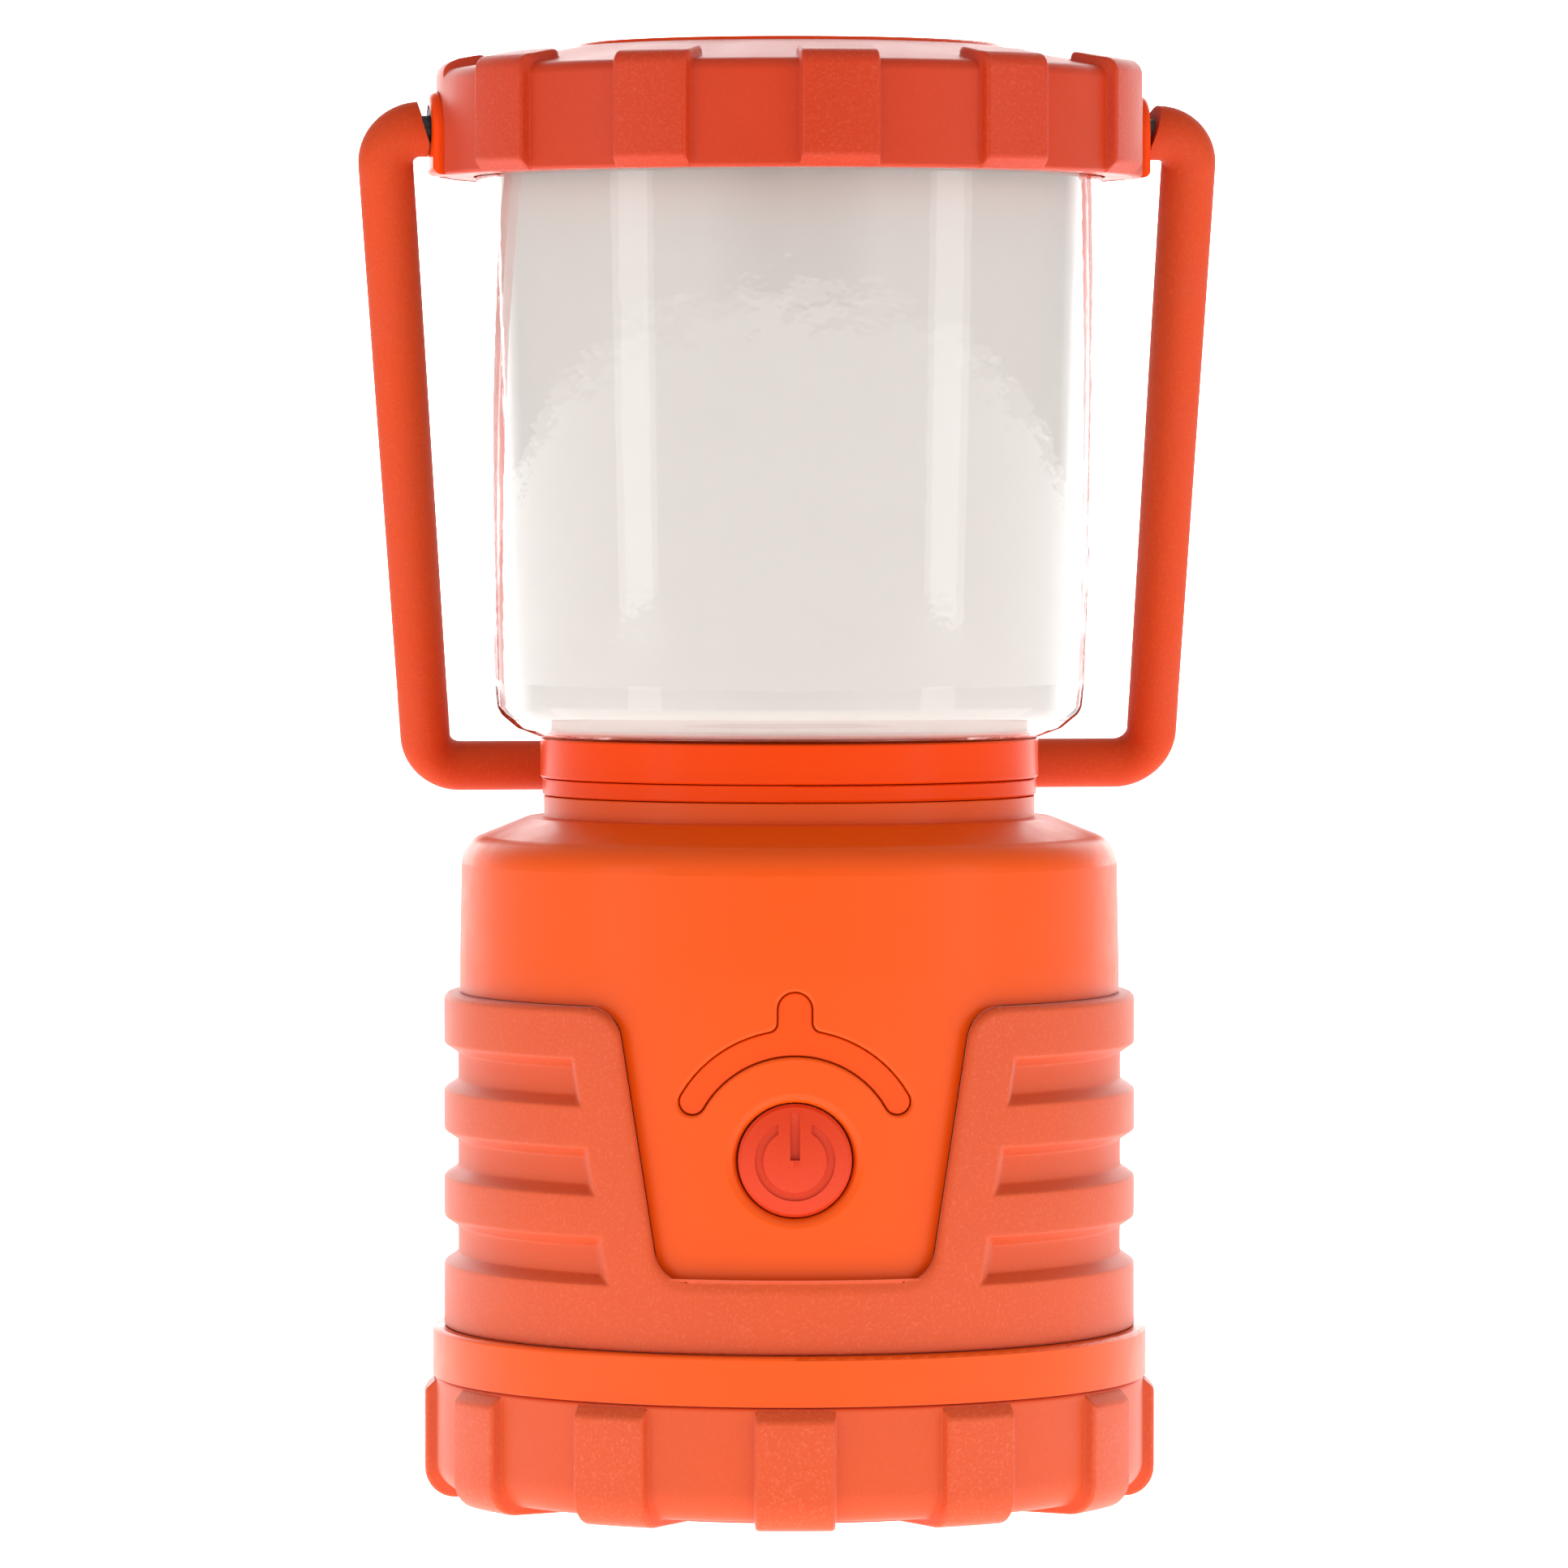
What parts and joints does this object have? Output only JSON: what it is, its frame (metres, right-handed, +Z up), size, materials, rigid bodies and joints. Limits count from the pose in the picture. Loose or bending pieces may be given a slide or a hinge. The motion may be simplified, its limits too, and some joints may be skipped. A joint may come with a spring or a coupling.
{
  "type": "battery lantern",
  "caption": "Battery LED area lantern with a screw-on clear globe, swinging bail handle, rubber grip, push button, screw-on base cover and fold-out hanging hook.",
  "frame": {"origin": "centre of the plane that the feet of the base cover stand on", "axes": "+Z up through the globe, -Y out through the power button, +X to the right seen from the front"},
  "size_m": [0.1093, 0.093, 0.1841],
  "materials": {
    "orange_shell": "satin moulded orange plastic",
    "orange_gloss": "gloss moulded orange plastic",
    "orange_rubber": "matt fine-grained orange overmoulded rubber",
    "orange_sleeve": "matt grained orange rubber sleeve",
    "clear_globe": "clear polished polycarbonate",
    "frosted_white": "frosted white translucent plastic",
    "white_plastic": "white satin plastic",
    "black_plastic": "black moulded plastic",
    "seal_rubber": "black seal rubber",
    "steel": "drawn steel",
    "nickel": "nickel-plated sheet and spring wire",
    "aluminium": "machined aluminium",
    "board": "green circuit board",
    "led_yellow": "phosphor-coated LED packages",
    "wire_red": "insulated lead",
    "cell_can": "printed metal cell can"
  },
  "bodies": {
    "housing": {"body_housing": "orange_shell", "grip_sleeve": "orange_rubber", "cover_gasket": "seal_rubber", "indicator_insert": "orange_shell", "indicator_led": "led_yellow", "push_switch": "black_plastic", "switch_board": "board", "switch_screws": "steel", "switch_leads": "wire_red", "battery_cradle": "black_plastic", "cradle_screws": "steel", "top_contacts": "nickel", "d_cell_1": "cell_can", "d_cell_2": "cell_can", "d_cell_3": "cell_can", "driver_board": "board", "driver_parts": "black_plastic", "driver_screws": "steel", "heat_sink": "aluminium", "led_board": "aluminium", "leds": "led_yellow", "led_lens": "clear_globe", "led_board_screws": "steel", "led_leads": "wire_red"},
    "button": {"power_button": "orange_rubber", "switch_plunger": "black_plastic"},
    "neck_ring": {"neck_ring": "orange_gloss"},
    "head": {"globe_collar": "orange_gloss", "globe": "clear_globe", "diffuser": "frosted_white", "globe_gasket": "seal_rubber", "cap_frame": "orange_gloss", "cap_overmould": "orange_rubber", "top_disc": "orange_gloss", "top_reflector": "white_plastic", "cap_screws": "steel", "pivot_bushes": "black_plastic"},
    "handle": {"handle_wire": "steel", "handle_sleeve": "orange_sleeve"},
    "contact_carrier": {"contact_plate": "black_plastic", "bottom_contacts": "nickel", "contact_springs": "nickel"},
    "base_cover": {"cover_shell": "orange_shell", "cover_overmould": "orange_rubber", "hook_pin": "steel"},
    "hook": {"hanging_hook": "orange_shell"}
  },
  "joints": [
    {"name": "power_button_press", "type": "slide", "parent": "housing", "child": "button", "axis": [0, 1, 0], "range_m": [0, 0.001], "stiffness_N_per_m": 1500, "springref_m": -0.0005},
    {"name": "head_lift", "type": "slide", "parent": "housing", "child": "neck_ring", "axis": [0, 0, 1], "range_m": [0, 0.006]},
    {"name": "head_turn", "type": "hinge", "parent": "neck_ring", "child": "head", "pos_m": [0, 0, 0.094], "axis": [0, 0, 1], "range_deg": [0, 180]},
    {"name": "handle_swing", "type": "hinge", "parent": "head", "child": "handle", "pos_m": [0, 0, 0.1733], "axis": [0.9925, 0.1219, 0], "range_deg": [0, 313]},
    {"name": "cover_drop", "type": "slide", "parent": "housing", "child": "contact_carrier", "axis": [0, 0, -1], "range_m": [0, 0.006]},
    {"name": "cover_turn", "type": "hinge", "parent": "contact_carrier", "child": "base_cover", "pos_m": [0, 0, 0.008], "axis": [0, 0, -1], "range_deg": [0, 240]},
    {"name": "hook_fold", "type": "hinge", "parent": "base_cover", "child": "hook", "pos_m": [-0.0195, 0, 0.0043], "axis": [0, 1, 0], "range_deg": [0, 90]}
  ],
  "couplings": [
    {"joint": "head_lift", "follows": "head_turn", "m_per_rad": 0.0019099},
    {"joint": "cover_drop", "follows": "cover_turn", "m_per_rad": 0.0014324}
  ]
}
